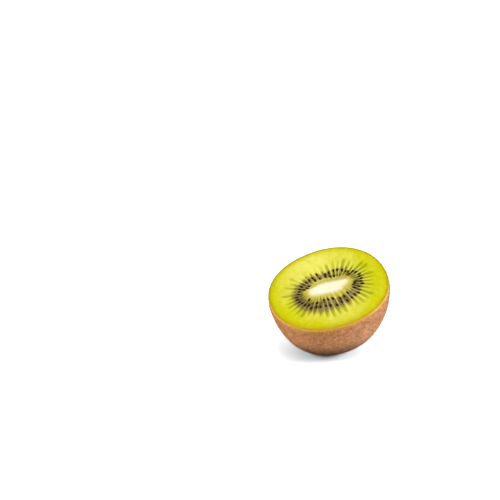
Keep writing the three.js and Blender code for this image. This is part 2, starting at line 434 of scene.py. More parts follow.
def core_outline(angle, grow=0.0):
    """The core's outline, moved outwards by an even distance."""
    def plain(angle):
        swelling = 0
        for middle, share in CORE_SWELLINGS:
            away = np.arctan2(np.sin(angle - middle), np.cos(angle - middle)) / SWELLING_SPREAD
            swelling = swelling + share * np.exp(-away * away)
        across = CORE_HALF_WIDTH * squared(np.cos(angle)) * (1 + swelling)
        along = CORE_HALF_THICKNESS * squared(np.sin(angle)) * (1 + swelling)
        return np.stack([CORE_MIDDLE[0] + across, CORE_MIDDLE[1] + along], axis=-1)

    step = math.radians(1)
    edge = plain(angle + step) - plain(angle - step)
    edge = edge / np.linalg.norm(edge, axis=-1, keepdims=True)
    return plain(angle) + grow * np.stack([edge[..., 1], -edge[..., 0]], axis=-1)


def bed_outline(angle, grow=0.0):
    lobe = SCALLOP * np.cos(LOCULES * angle) + grow
    across = (BED_HALF_WIDTH + lobe) * np.cos(angle)
    along = (BED_HALF_THICKNESS + lobe) * np.sin(angle)
    return np.stack([BED_MIDDLE[0] + across, BED_MIDDLE[1] + along], axis=-1)


def bed_place(angle, share):
    inside = core_outline(angle, CLEARANCE)
    return inside + (bed_outline(angle) - inside) * share


# %% [markdown]
# ## Places of the seeds
#
# Every locule has a seed in the outer row, and half of them, by chance, also have one in the
# inner row. Small random shifts and turns keep them from looking drilled. The draw is a seeded one, the
# same that places the seeds of the frame, so both models hold the same seeds.

# %% Seeded draw and seed places
SEED_LENGTH = 1.95
SEED_WIDTH = 1.0
SEED_THICKNESS = 0.95
SEED_TAPER = 0.32
SEED_RISE = 0.1
SEED_ROWS = ((0.43, 0.14, 1.0), (0.19, 0.12, 0.6))
SEED_SWAY = 0.35
SEED_TURN = 0.45
SEED_CLEARANCE = 0.7
SEED_DRAW = 20260
RING_SINK = 0.3
RING_MIDDLE = 0.34
RING_SPREAD = 0.24
RING_SHIFT = 0.06
LOCULE_SINK = 0.16
SHARE_STEP = 0.02


def seeded_draw(state):
    whole = 0xFFFFFFFF
    while True:
        state = (state + 0x6D2B79F5) & whole
        mixed = ((state ^ (state >> 15)) * (1 | state)) & whole
        mixed = ((mixed + ((mixed ^ (mixed >> 7)) * (61 | mixed))) & whole) ^ mixed
        yield (mixed ^ (mixed >> 14)) / 4294967296


def ring_depth(angle, share):
    """How deep in the groove of the seed ring a place lies, from 0 to 1."""
    ring_middle = RING_MIDDLE - RING_SHIFT * np.sin(angle)
    return np.exp(-(((share - ring_middle) / RING_SPREAD) ** 2))


def bed_height(angle, share):
    in_locule = 0.5 + 0.5 * np.cos(LOCULES * angle)
    return -RING_SINK * ring_depth(angle, share) - LOCULE_SINK * in_locule * np.sin(math.pi * share)


core_edge = core_outline(FULL_TURN * np.arange(2 * LOCULES) / (2 * LOCULES))


def clear_share(angle, share):
    nearest = SEED_LENGTH / 2 + SEED_CLEARANCE
    while np.linalg.norm(core_edge - bed_place(angle, share), axis=1).min() <= nearest:
        share += SHARE_STEP
    return share


def outward_turn(angle, share, place):
    outward = bed_place(angle, share + 0.1) - place
    return math.atan2(outward[1], outward[0])


def seed_places():
    draw = seeded_draw(SEED_DRAW)
    places = []
    for locule in range(LOCULES):
        for row_share, row_spread, chance in SEED_ROWS:
            angle = FULL_TURN * (locule + SEED_SWAY * (next(draw) - 0.5)) / LOCULES
            share = row_share + row_spread * (next(draw) - 0.5) - RING_SHIFT * math.sin(angle)
            turn = SEED_TURN * (next(draw) - 0.5)
            if next(draw) < chance:
                share = clear_share(angle, share)
                place = bed_place(angle, share)
                turn += outward_turn(angle, share, place)
                places.append((*place, SEED_RISE + bed_height(angle, share), turn))
    return np.array(places)


SEEDS = seed_places()
print("seeds:", len(SEEDS))

# %% [markdown]
# ## A body from rings
#
# The outer flesh, the seed bed and the core are closed bodies of rotation-like shape. One way to
# make such a body is to spin a profile, but these outlines are not round. So each is a stack of
# rings joined by quads, with a fan at each end of the stack. The face gets many fine rings and
# the hidden walls a few.
#
# Each body carries a UV map named cut: U counts the locules round the fruit and V the way out,
# from -1 at the middle through 0 at the core's edge and 1 at the end of the locules to 2 at the
# peel. The colours read it, so that a ray runs on without a break from one body into the next.
# Two more measures are stored on the points: how far each lies from the core's edge and from
# the peel, in millimetres.

# %% Ring body helper
AROUND = 20 * LOCULES
ANGLES = FULL_TURN * np.arange(AROUND) / AROUND
SHARP_EDGE = math.radians(50)
FINE_RELIEF = (1.1, 0.03)
BROAD_RELIEF = (4.0, 0.07, 4.0)


def distance_to(outline, points):
    nearest = np.full(len(points), np.inf)
    for edge_point in outline:
        nearest = np.minimum(nearest, np.hypot(*(points - edge_point).T))
    return nearest


def add_measure(mesh, name, values):
    attribute = mesh.attributes.new(name, "FLOAT", "POINT")
    attribute.data.foreach_set("value", np.asarray(values, dtype=np.float32))


def ring_body(name, rings, ways, tips):
    points = np.concatenate([[tips[0]], *rings, [tips[1]]])
    column = np.arange(AROUND)
    beside = (column + 1) % AROUND
    level = 1 + AROUND * np.arange(len(rings) - 1)[:, None]
    quads = np.stack(
        [level + column, level + beside, level + AROUND + beside, level + AROUND + column], axis=-1
    ).reshape(-1, 4)
    last_ring = 1 + AROUND * (len(rings) - 1)
    first_fan = np.column_stack([0 * column, 1 + beside, 1 + column])
    last_fan = np.column_stack([0 * column + last_ring + AROUND, last_ring + column, last_ring + beside])
    mesh = bpy.data.meshes.new(name)
    mesh.from_pydata(on_table(points).tolist(), [], quads.tolist() + first_fan.tolist() + last_fan.tolist())

    locule = LOCULES / AROUND
    left = column * locule
    right = left + locule
    middle = left + locule / 2
    quad_u = np.tile(np.column_stack([left, right, right, left]), (len(rings) - 1, 1)).ravel()
    first_u = np.column_stack([middle, right, left]).ravel()
    last_u = np.column_stack([middle, left, right]).ravel()
    corner_u = np.concatenate([quad_u, first_u, last_u])
    point_way = np.concatenate([[ways[0]], np.repeat(ways, AROUND), [ways[-1]]])
    corners = np.concatenate([quads.ravel(), first_fan.ravel(), last_fan.ravel()])
    uv = np.column_stack([corner_u, point_way[corners]])
    mesh.uv_layers.new(name="cut").data.foreach_set("uv", uv.ravel().astype(np.float32))

    core_edge = core_outline(ANGLES[::4])
    outside_core = np.repeat(np.asarray(ways) >= 0, AROUND)
    side = np.concatenate([[1], np.where(outside_core, 1, -1), [-1 if ways[-1] < 0 else 1]])
    add_measure(mesh, "core_gap", side * distance_to(core_edge, points[:, :2]))
    add_measure(mesh, "rim_gap", distance_to(peel_outline(ANGLES[::4]), points[:, :2]))
    mesh.shade_smooth()
    mesh.set_sharp_from_angle(angle=SHARP_EDGE)
    body = bpy.data.objects.new(name, mesh)
    bpy.context.scene.collection.objects.link(body)
    print(name, "triangles:", 2 * len(quads) + 2 * AROUND)
    return body, points


def lumps(points, size, height, shift=0.0):
    """Smooth random heights for points given in millimetres."""
    return np.array([height * noise.noise(Vector((x / size, y / size, shift))) for x, y in points[:, :2]])


def wet_relief(points):
    """The fine unevenness of the cut, the same for all three bodies, so that no join shows."""
    return lumps(points, *FINE_RELIEF) + lumps(points, *BROAD_RELIEF)


# %% [markdown]
# ## Seed bed
#
# A knife cut leaves the chambers a little lower than the walls between them, and the soft pulp
# round the seeds lower still. A seed lies in a pocket with a thin wet lip round it. All of this
# is real relief in the mesh, so that it shows from every side and catches the light. Some seeds
# lie just under the surface, where they only darken the pulp: they are a measure on the points
# for the colours to read.

# %% Seed bed
OVERLAP = 0.06
JOIN_DIP = 0.03
FACE_SHARES = np.linspace(1, 0, 58)
BED_LATITUDES = (16, 32, 50, 70, 84, 90)
CORE_LATITUDES = (30, 60, 80, 90)
CORE_FIT = 0.2
CHAMBER_DRAW = 5
LIP_HEIGHT = 0.09
LIP_PLACE = 1.25
LIP_SPREAD = 0.3
POCKET_DEPTH = 0.1
POCKET_SPREAD = 0.9
SUNK_ROWS = (0.14, 0.32, 0.5)
SUNK_DRAW = 77


def seed_distance(points, place, turn, size=1.0):
    """Distance from a seed's middle in seed sizes: 1 is its outline."""
    away = points[:, :2] - place
    along = away[:, 0] * math.cos(turn) + away[:, 1] * math.sin(turn)
    aside = away[:, 1] * math.cos(turn) - away[:, 0] * math.sin(turn)
    return np.hypot(along / (SEED_LENGTH / 2 * size), aside / (SEED_WIDTH / 2 * size))


def bed_face(angle):
    depth_by_locule = np.random.default_rng(CHAMBER_DRAW).uniform(0.55, 1.25, LOCULES)
    locule = np.rint(angle * LOCULES / FULL_TURN).astype(int) % LOCULES
    hollow = (0.5 + 0.5 * np.cos(LOCULES * angle)) ** 0.7 * depth_by_locule[locule]
    rings = []
    for share in FACE_SHARES:
        sink = LOCULE_SINK * hollow * math.sin(math.pi * share) ** 0.7
        height = -RING_SINK * ring_depth(angle, share) - sink
        rings.append(np.column_stack([bed_place(angle, share), height]))
    return rings


def seed_bed():
    outline = bed_outline(ANGLES, OVERLAP)
    side = rounded_end(outline, BED_MIDDLE, BED_DEPTH, BED_END_SQUARENESS, BED_LATITUDES)
    side[-1][:, 2] -= JOIN_DIP
    inner = core_outline(ANGLES, CLEARANCE - CORE_FIT)
    hollow = rounded_end(inner, CORE_MIDDLE, CORE_DEPTH + CLEARANCE, CORE_SQUARENESS, CORE_LATITUDES)[::-1]
    face = bed_face(ANGLES)
    for level in face:
        for place_x, place_y, _, turn in SEEDS:
            near = seed_distance(level, (place_x, place_y), turn)
            lip = LIP_HEIGHT * np.exp(-(((near - LIP_PLACE) / LIP_SPREAD) ** 2))
            pocket = POCKET_DEPTH * np.exp(-((near / POCKET_SPREAD) ** 2))
            level[:, 2] += lip - pocket
    for level in (side[-1], *face, hollow[0]):
        level[:, 2] += wet_relief(level)
    ways = [1] * len(side) + list(FACE_SHARES) + [0] * len(hollow)
    tips = ((*BED_MIDDLE, -BED_DEPTH), (*CORE_MIDDLE, -CORE_DEPTH - CLEARANCE))
    body, points = ring_body("inner_flesh", side + face + hollow, ways, tips)

    draw = np.random.default_rng(SUNK_DRAW)
    sunk = np.zeros(len(points))
    for locule in range(LOCULES):
        for row_share in SUNK_ROWS:
            angle = FULL_TURN * (locule + draw.uniform(-0.2, 0.2)) / LOCULES
            share = row_share + draw.uniform(-0.07, 0.07)
            place = bed_place(angle, share)
            near = seed_distance(points, place, outward_turn(angle, share, place), draw.uniform(0.8, 1.1))
            sunk = np.maximum(sunk, draw.uniform(0.1, 0.9) * np.exp(-(near ** 3)))
    add_measure(body.data, "sunk_seed", sunk)
    return body


bed = seed_bed()

# %% [markdown]
# ## Outer flesh and core
#
# The outer flesh is a thick cup. Its cut face swells a little above the knife's plane, as wet
# flesh does. The core is firmer, stands a touch higher, and is faintly fibrous.

# %% Outer flesh
PEEL_THICKNESS = 0.42
PEEL_GRIP = 0.1
RIM_GRIP = 0.02
RIM_DROP = 0.03
FACE_CROWN = 0.25
FLESH_LATITUDES = (8, 20, 32, 44, 56, 68, 78, 85, 88)


def outer_flesh():
    wall = peel_outline(ANGLES, PEEL_THICKNESS - PEEL_GRIP)
    depth = HALF_LENGTH - PEEL_THICKNESS + PEEL_GRIP
    outside = rounded_end(wall, 0, depth, END_SQUARENESS, FLESH_LATITUDES)
    rim = peel_outline(ANGLES, PEEL_THICKNESS - RIM_GRIP)
    hollow_edge = bed_outline(ANGLES, OVERLAP / 2)
    face = []
    shares = np.linspace(1, 0, 30)
    for share in shares:
        level = ring(hollow_edge + (rim - hollow_edge) * share, FACE_CROWN * math.sin(math.pi * share))
        level[:, 2] += wet_relief(level) - RIM_DROP * share ** 6
        face.append(level)
    hollow_depth = BED_DEPTH + CLEARANCE
    hollow = rounded_end(hollow_edge, BED_MIDDLE, hollow_depth, BED_END_SQUARENESS, BED_LATITUDES)[-2::-1]
    ways = [2] * len(outside) + list(1 + shares) + [1] * len(hollow)
    tips = ((0, 0, -depth), (*BED_MIDDLE, -hollow_depth))
    return ring_body("outer_flesh", outside + face + hollow, ways, tips)[0]


flesh = outer_flesh()

# %% Core
CORE_CROWN = 0.2


def white_core():
    outline = core_outline(ANGLES, CLEARANCE - CORE_FIT + OVERLAP)
    side = rounded_end(outline, CORE_MIDDLE, CORE_DEPTH, CORE_SQUARENESS, CORE_LATITUDES)
    side[-1][:, 2] += wet_relief(side[-1]) - JOIN_DIP
    face = []
    shares = np.linspace(0.97, 0.05, 22)
    for share in shares:
        level = ring(CORE_MIDDLE + (outline - CORE_MIDDLE) * share, CORE_CROWN * (1 - share ** 2))
        level[:, 2] += wet_relief(level)
        face.append(level)
    ways = [-0.01] * len(side) + list(-1 + shares)
    tips = ((*CORE_MIDDLE, -CORE_DEPTH), (*CORE_MIDDLE, CORE_CROWN))
    return ring_body("white_core", side + face, ways, tips)[0]


core = white_core()

# %% [markdown]
# ## Colours of the cut face
#
# On the real fruit the colours run into each other without an edge. If each body had colours of
# its own, the joins would show as lines. So one node group holds the colours of the whole face,
# and the three materials share it. It lays them over each other from the outside in: outer
# flesh, its olive edge, the light walls and dark chambers of the bed, the dusky pulp of the
# seed ring, pale rays across it, the seeds that lie under the surface, the yellow-green halo,
# and the white core.

# %% Colour group
CORE_TIP = math.radians(146)


def cut_face_group():
    tree = bpy.data.node_groups.new("cut face", "ShaderNodeTree")
    for name, kind in (("Colour", "NodeSocketColor"), ("Grain", "NodeSocketFloat")):
        tree.interface.new_socket(name, in_out="OUTPUT", socket_type=kind)
    graph = Graph(tree)
    uv = graph.add("ShaderNodeUVMap", uv_map="cut").outputs[0]
    parts = graph.parts(uv)
    count = parts[0]
    way = parts[1]
    place = graph.place()
    core_gap = graph.measure("core_gap")
    rim_gap = graph.measure("rim_gap")
    sunk = graph.measure("sunk_seed")

    # direction round the fruit: east is its fuller end, north is the side that lies highest
    turn = graph.times(count, FULL_TURN / LOCULES)
    east = graph.math("COSINE", turn)
    north = graph.math("SINE", turn)
    ends = graph.times(east, east)

    # the fibres read a ring of coordinates, so that they meet where the count starts again
    fibre_place = graph.vector(
        graph.times(east, 20.0), graph.times(north, 20.0), graph.times(way, 1.6),
    )
    fibre = graph.noise(fibre_place, 1.1, 3.0)
    sway = graph.noise(fibre_place, 5.0, 1.0)
    mottle = graph.noise(place, 4 * MM, 3.0)
    patches = graph.noise(place, 9 * MM, 2.0)
    wide = graph.noise(place, 22 * MM, 1.0)
    speckle = graph.noise(place, 2.2 * MM, 3.0, 0.6)
    fine = graph.noise(place, 0.7 * MM, 3.0, 0.6)

    # where the point lies between the walls of its locule: 0 in the middle, 0.5 at a wall
    bent = graph.plus(count, graph.scaled(sway, -0.45, 0.45))
    locule = graph.math("FLOOR", graph.plus(bent, 0.5))
    aside = graph.math("ABSOLUTE", graph.minus(bent, locule))
    own = graph.add("ShaderNodeTexWhiteNoise", noise_dimensions="1D")
    graph.feed(own.inputs["W"], graph.math("FLOORED_MODULO", locule, float(LOCULES)))
    own_length = own.outputs["Value"]
    own_parts = graph.add("ShaderNodeSeparateColor", {"Color": own.outputs["Color"]}).outputs
    own_width = own_parts[0]
    own_tone = own_parts[1]

    # outer flesh: paler towards its high side, a painted reflection of soft light from above and behind,
    # and deepest in colour at the two ends of the oval and at the rim
    pale = graph.total(
        0.09, (north, 0.15), (east, -0.07), (ends, -0.67), (graph.smooth(way, 1.4, 1.0), 0.06),
        (graph.smooth(rim_gap, 6.5, 2.0), -0.25), (wide, 0.6), (patches, 0.5), clamp=True,
    )
    bright = graph.mix(pale, colour(208, 204, 1), colour(240, 231, 112))
    bright = graph.tint(bright, graph.smooth(mottle, 0.45, 0.75), 0.4, colour(196, 200, 2))
    bright = graph.tint(bright, graph.smooth(fibre, 0.5, 0.8), 0.3, colour(238, 231, 96))
    bright = graph.tint(bright, graph.smooth(speckle, 0.5, 0.75), 0.3, colour(240, 234, 116))
    bright = graph.tint(bright, graph.smooth(speckle, 0.46, 0.28), 0.4, colour(198, 196, 6))
    edge = graph.smooth(graph.plus(rim_gap, graph.scaled(mottle, -0.9, 0.9)), 3.6, 0.6)
    bright = graph.tint(bright, edge, 0.85, colour(196, 186, 2))
    line_colour = graph.mix(graph.smooth(north, 0.2, -0.7), colour(168, 156, 2), colour(200, 168, 2))
    line = graph.smooth(graph.plus(rim_gap, graph.scaled(speckle, -0.7, 0.7)), 1.5, 0.4)
    line_colour = graph.tint(line_colour, graph.smooth(east, 0.2, 0.9), 0.6, colour(146, 132, 2))
    bright = graph.tint(bright, line, 0.85, line_colour)
    streak = graph.times(graph.smooth(fibre, 0.48, 0.3), graph.smooth(way, 1.4, 0.9))
    bright = graph.tint(bright, streak, 0.5, colour(196, 196, 16))

    # pale walls of the bed, and chambers with round ends between them
    walls = graph.smooth(graph.plus(way, graph.scaled(mottle, -0.1, 0.1)), 1.08, 0.75)
    walls = graph.times(walls, graph.minus(0.45, graph.times(ends, 0.42)))
    shown = graph.mix(walls, bright, colour(232, 226, 84))
    chamber_end = graph.total(graph.scaled(own_length, 0.74, 1.16), (ends, 0.17), (north, -0.06))
    along = graph.math("DIVIDE", way, chamber_end, clamp=True)
    roundness = graph.math("SQRT", graph.minus(1.0, graph.math("POWER", along, 7.0)))
    outside = graph.total(
        aside, (roundness, graph.scaled(own_width, -0.22, -0.36)),
        (north, 0.03), (ends, -0.02), graph.scaled(fibre, -0.2, 0.2),
    )
    chamber = graph.times(
        graph.smooth(outside, 0.17, -0.15), graph.smooth(graph.minus(way, chamber_end), 0.12, -0.24),
    )
    # upper left of the face: a painted reflection of the soft light pales the pulp and fades the chambers
    # there
    upper_left = graph.smooth(graph.minus(north, east), 0.9, 1.4)
    contrast = graph.total(
        (ends, 0.7), (north, -0.2), (upper_left, -0.55), graph.scaled(own_tone, 0.2, 1.2),
        graph.scaled(mottle, -0.3, 0.3), clamp=True,
    )
    green = graph.mix(graph.smooth(way, 0.5, 0.85), colour(152, 144, 40), colour(160, 164, 2))
    shown = graph.mix(graph.times(chamber, graph.times(contrast, 0.86)), shown, green)

    # dusky pulp round the seeds, with pale rays across it
    ragged = graph.total(
        way, 0.02, (north, 0.16), (east, 0.165), (ends, 0.035), (upper_left, -0.06),
        graph.scaled(fibre, -0.14, 0.14),
    )
    ring_far = graph.smooth(ragged, 0.7, 0.44)
    core_side = graph.plus(core_gap, graph.times(north, 1.0))
    ring_near = graph.smooth(graph.plus(core_side, graph.scaled(fibre, -1.2, 1.2)), 1.1, 3.4)
    dusky = graph.times(ring_far, ring_near)
    pulp = graph.mix(graph.smooth(mottle, 0.35, 0.7), colour(118, 94, 54), colour(160, 136, 82))
    # painted reflection: the pulp is paler at the upper left
    pulp = graph.tint(pulp, upper_left, 0.8, colour(198, 178, 84))
    pulp = graph.mix(graph.smooth(ragged, 0.34, 0.62), pulp, colour(142, 130, 34))
    pulp = graph.tint(pulp, ends, 0.65, colour(88, 70, 34))
    shown = graph.tint(shown, dusky, 0.92, pulp)
    ray = graph.times(graph.smooth(aside, 0.33, 0.45), graph.smooth(fibre, 0.36, 0.52))
    ray = graph.times(ray, graph.smooth(way, 1.05, 0.55))
    ray = graph.times(ray, graph.total(1.0, (east, 0.2), (ends, -0.45)))
    ray_colour = graph.mix(dusky, colour(236, 229, 108), colour(210, 193, 130))
    shown = graph.tint(shown, ray, 0.85, ray_colour)
    shown = graph.tint(shown, sunk, 0.85, colour(58, 38, 3))

    # halo and core: the core's white runs out a little along the walls between the chambers
    high_side = graph.smooth(graph.plus(north, graph.times(east, 0.4)), 0.3, 1.0)
    tip = graph.smooth(graph.math("COSINE", graph.minus(turn, CORE_TIP)), 0.9, 1.0)
    core_face = graph.total(
        core_gap, 0.15, (high_side, 1.1), (aside, -1.2), (tip, -0.5),
        (graph.smooth(east, 0.8, 1.0), 0.35), graph.scaled(fibre, -1.0, 1.0),
    )
    halo = graph.smooth(core_face, 2.6, 0.3)
    halo_colour = graph.mix(high_side, colour(208, 190, 80), colour(190, 170, 76))
    shown = graph.tint(shown, halo, 0.85, halo_colour)
    middle = graph.smooth(core_face, 0.5, -2.0)
    cream = graph.mix(graph.smooth(mottle, 0.3, 0.7), colour(252, 237, 194), colour(255, 244, 218))
    shown = graph.mix(middle, shown, cream)

    grain = graph.plus(graph.times(fine, 0.6), graph.times(fibre, 0.4))
    out = graph.add("NodeGroupOutput")
    graph.feed(out.inputs["Colour"], shown)
    graph.feed(out.inputs["Grain"], grain)
    return tree


CUT_FACE = cut_face_group()
print("nodes in the colour group:", len(CUT_FACE.nodes))

# %% [markdown]
# The three bodies differ in how wet and how soft they look. Light goes a few millimetres into
# fruit flesh, so each material has a little subsurface scattering, with red going deepest.

# %% Materials of the cut face
def cut_material(name, roughness, bump, glow, coat):
    material, graph, shader = new_material(name)
    face = graph.add("ShaderNodeGroup", node_tree=CUT_FACE).outputs
    graph.fill(shader, {
        "Base Color": face["Colour"],
        "Roughness": graph.scaled(face["Grain"], roughness - 0.1, roughness + 0.15),
        "Normal": graph.relief(face["Grain"], bump, 0.1 * MM),
        "Subsurface Weight": glow, "Subsurface Radius": (1.0, 0.8, 0.25), "Subsurface Scale": 1.6 * MM,
        "Specular IOR Level": 0.08, "Coat Weight": coat, "Coat Roughness": 0.12, "Coat IOR": 1.33,
    })
    return material


bed.data.materials.append(cut_material("seed bed", 0.36, 0.6, 0.2, 0.08))
flesh.data.materials.append(cut_material("outer flesh", 0.45, 0.5, 0.25, 0.01))
core.data.materials.append(cut_material("core", 0.5, 0.7, 0.3, 0.0))

# %% [markdown]
# ## Geometry Nodes helper
#
# The peel, the seeds and the fuzz are each one rule, so Geometry Nodes make them. A tree gets
# named inputs for its sizes, and a modifier's input is set by the identifier of its socket. The
# evaluated result is then turned into a plain mesh, which is laid on the table like the rest.

# %% Geometry Nodes helper
def new_geometry_tree(name, inputs):
    tree = bpy.data.node_groups.new(name, "GeometryNodeTree")
    tree.interface.new_socket("Geometry", in_out="INPUT", socket_type="NodeSocketGeometry")
    tree.interface.new_socket("Geometry", in_out="OUTPUT", socket_type="NodeSocketGeometry")
    for label, value in inputs.items():
        kind = "NodeSocketInt" if isinstance(value, int) else "NodeSocketFloat"
        tree.interface.new_socket(label, in_out="INPUT", socket_type=kind)
    graph = Graph(tree)
    return graph, graph.add("NodeGroupInput").outputs, graph.add("NodeGroupOutput").inputs[0]


def keep_tone(graph, geometry, value):
    """Stores on each instance a number that its material reads."""
    return graph.add("GeometryNodeStoreNamedAttribute", {
        "Geometry": geometry, "Name": "tone", "Value": value,
    }, data_type="FLOAT", domain="INSTANCE").outputs[0]


def end_tree(graph, geometry, material, result):
    real = graph.add("GeometryNodeRealizeInstances", {"Geometry": geometry})
    dressed = graph.add("GeometryNodeSetMaterial", {"Geometry": real.outputs[0], "Material": material})
    graph.feed(result, dressed.outputs[0])
    return graph.tree


def grown(name, tree, values, start=None):
    """Runs a tree on a start mesh and gives back a plain mesh object, still in millimetres."""
    holder = bpy.data.objects.new(name, start or bpy.data.meshes.new(name))
    bpy.context.scene.collection.objects.link(holder)
    modifier = holder.modifiers.new("rule", "NODES")
    modifier.node_group = tree
    for item in tree.interface.items_tree:
        if item.in_out == "INPUT" and item.name in values:
            modifier[item.identifier] = values[item.name]
    evaluated = holder.evaluated_get(bpy.context.evaluated_depsgraph_get())
    mesh = bpy.data.meshes.new_from_object(evaluated)
    holder.modifiers.clear()
    holder.data = mesh
    mesh.name = name
    return holder


def points_of(mesh):
    points = np.empty(len(mesh.vertices) * 3, dtype=np.float32)
    mesh.vertices.foreach_get("co", points)
    return points.reshape(-1, 3).astype(float)


def lay_down(piece):
    mesh = piece.data
    mesh.vertices.foreach_set("co", on_table(points_of(mesh)).astype(np.float32).ravel())
    mesh.update()
    mesh.calc_loop_triangles()
    print(piece.name, "triangles:", len(mesh.loop_triangles))


# %% [markdown]
# ## Peel
#
# The peel is a thin skin over the whole outside. It starts as a flat grid. One side of the grid
# becomes the angle round the fruit and the other the latitude from tip to cut, and the outline's
# formula puts every point in its place. Merge by Distance closes the seam and the tip. The
# dried button at the rounded end and soft lumps are added along the way, and Solidify gives the
# skin its thickness.

# %% Peel
PEEL_SIZES = {
    "Half Width": HALF_WIDTH,
    "Half Thickness": HALF_THICKNESS,
    "Half Length": HALF_LENGTH,
    "Outline Squareness": OUTLINE_SQUARENESS,
    "End Squareness": END_SQUARENESS,
    "Lopsidedness": LOPSIDEDNESS,
    "Three Lobed": THREE_LOBED,
    "Lobe Angle": LOBE_ANGLE,
    "Rim Latitude": math.radians(89.92),
    "Lump Height": 0.22,
    "Lump Size": 6.0,
    "Button Height": 0.45,
    "Points Around": 380,
    "Points Along": 104,
}


BUTTON_EDGE = (3.0, 1.9)
CRATER_EDGE = (1.3, 0.2)
CRATER_DEPTH = 0.6
DIMPLE_EDGE = (5.5, 3.2)
DIMPLE_DEPTH = 0.35
NOISE_MIDDLE = 0.55
SEAM_GAP = 0.004


def peel_tree(material):
    graph, given, result = new_geometry_tree("peel rule", PEEL_SIZES)
    grid = graph.add("GeometryNodeMeshGrid", {
        "Size X": 1.0, "Size Y": 1.0,
        "Vertices X": given["Points Around"], "Vertices Y": given["Points Along"],
    })
    flat = graph.parts(graph.add("GeometryNodeInputPosition").outputs[0])
    angle = graph.times(graph.plus(flat[0], 0.5), FULL_TURN)
    latitude = graph.times(graph.plus(flat[1], 0.5), given["Rim Latitude"])

    def side(trigonometry, half):
        ratio = graph.math("ABSOLUTE", graph.math("DIVIDE", graph.math(trigonometry, angle), half))
        return graph.math("POWER", ratio, given["Outline Squareness"])

    total = graph.plus(side("COSINE", given["Half Width"]), side("SINE", given["Half Thickness"]))
    oval = graph.math("POWER", total, graph.math("DIVIDE", -1.0, given["Outline Squareness"]))
    fuller = graph.times(graph.math("COSINE", angle), given["Lopsidedness"])
    lobe_turn = graph.times(graph.minus(angle, given["Lobe Angle"]), 3.0)
    lobes = graph.times(graph.math("COSINE", lobe_turn), given["Three Lobed"])
    section = graph.times(oval, graph.total(fuller, lobes, 1.0))
    power = graph.math("DIVIDE", 2.0, given["End Squareness"])
    share = graph.math("POWER", graph.math("SINE", latitude), power)
    drop = graph.times(graph.math("POWER", graph.math("COSINE", latitude), power), given["Half Length"])
    radius = graph.times(section, share)
    x = graph.times(radius, graph.math("COSINE", angle))
    y = graph.times(radius, graph.math("SINE", angle))

    # the dried button stands out round the tip, with a shallow crater in its middle
    bumps = graph.total(
        graph.smooth(radius, *BUTTON_EDGE), (graph.smooth(radius, *CRATER_EDGE), -CRATER_DEPTH),
        (graph.smooth(radius, *DIMPLE_EDGE), -DIMPLE_DEPTH),
    )
    standing = graph.times(bumps, given["Button Height"])
    z = graph.times(graph.plus(drop, standing), -1.0)
    place = graph.vector(x, y, z)
    placed = graph.add("GeometryNodeSetPosition", {"Geometry": grid.outputs["Mesh"], "Position": place})
    closed = graph.add("GeometryNodeMergeByDistance", {"Geometry": placed.outputs[0], "Distance": SEAM_GAP})

    where = graph.add("GeometryNodeInputPosition").outputs[0]
    normal = graph.add("GeometryNodeInputNormal").outputs[0]
    soft = graph.add("ShaderNodeTexNoise", {
        "Vector": where, "Scale": graph.math("DIVIDE", 1.0, given["Lump Size"]), "Detail": 3.0,
    }).outputs[0]
    swell = graph.times(graph.minus(soft, NOISE_MIDDLE), given["Lump Height"])
    push = graph.add("ShaderNodeVectorMath", operation="SCALE")
    graph.feed(push.inputs[0], normal)
    graph.feed(push.inputs["Scale"], swell)
    lumpy = graph.add("GeometryNodeSetPosition", {"Geometry": closed.outputs[0], "Offset": push.outputs[0]})
    smooth = graph.add("GeometryNodeSetShadeSmooth", {"Geometry": lumpy.outputs[0]})
    return end_tree(graph, smooth.outputs[0], material, result)


peel_brown, peel_graph, peel_shader = new_material("peel")
peel = grown("peel", peel_tree(peel_brown), PEEL_SIZES)


def signed_volume(mesh):
    mesh.calc_loop_triangles()
    corners = np.empty(len(mesh.loop_triangles) * 3, dtype=np.int32)
    mesh.loop_triangles.foreach_get("vertices", corners)
    a, b, c = points_of(mesh)[corners.reshape(-1, 3)].transpose(1, 0, 2)
    return float(np.einsum("ij,ij->i", a, np.cross(b, c)).sum() / 6)


print("the peel's skin encloses, cubic cm:", round(signed_volume(peel.data) / 1000, 1))

# %% [markdown]
# A volume above zero says that the faces point outwards, so Solidify thickens the skin inwards.
# The thickened skin becomes a plain mesh before the fuzz is planted on it. Each point stores how far it
# lies below the cut, because the peel's cut edge is olive and the skin just under it is painted golden,
# painted light from the yellow flesh beside it. The cut edge itself is a little ragged, as a knife leaves
# it.

# %% Thicken the peel
FRAY = 0.22
FRAY_SIZE = 1.1
FRAYED_BAND = 0.3

thicken = peel.modifiers.new("thickness", "SOLIDIFY")
thicken.thickness = PEEL_THICKNESS
thicken.offset = -1
evaluated = peel.evaluated_get(bpy.context.evaluated_depsgraph_get())
skin = peel.data
thick = bpy.data.meshes.new_from_object(evaluated)
peel.modifiers.clear()
peel.data = thick
thick_points = points_of(thick)
add_measure(thick, "cut_depth", -thick_points[:, 2])
frayed = thick_points[:, 2] > -FRAYED_BAND
thick_points[frayed, 2] -= np.abs(lumps(thick_points[frayed], FRAY_SIZE, FRAY))
thick.vertices.foreach_set("co", thick_points.astype(np.float32).ravel())
lay_down(peel)

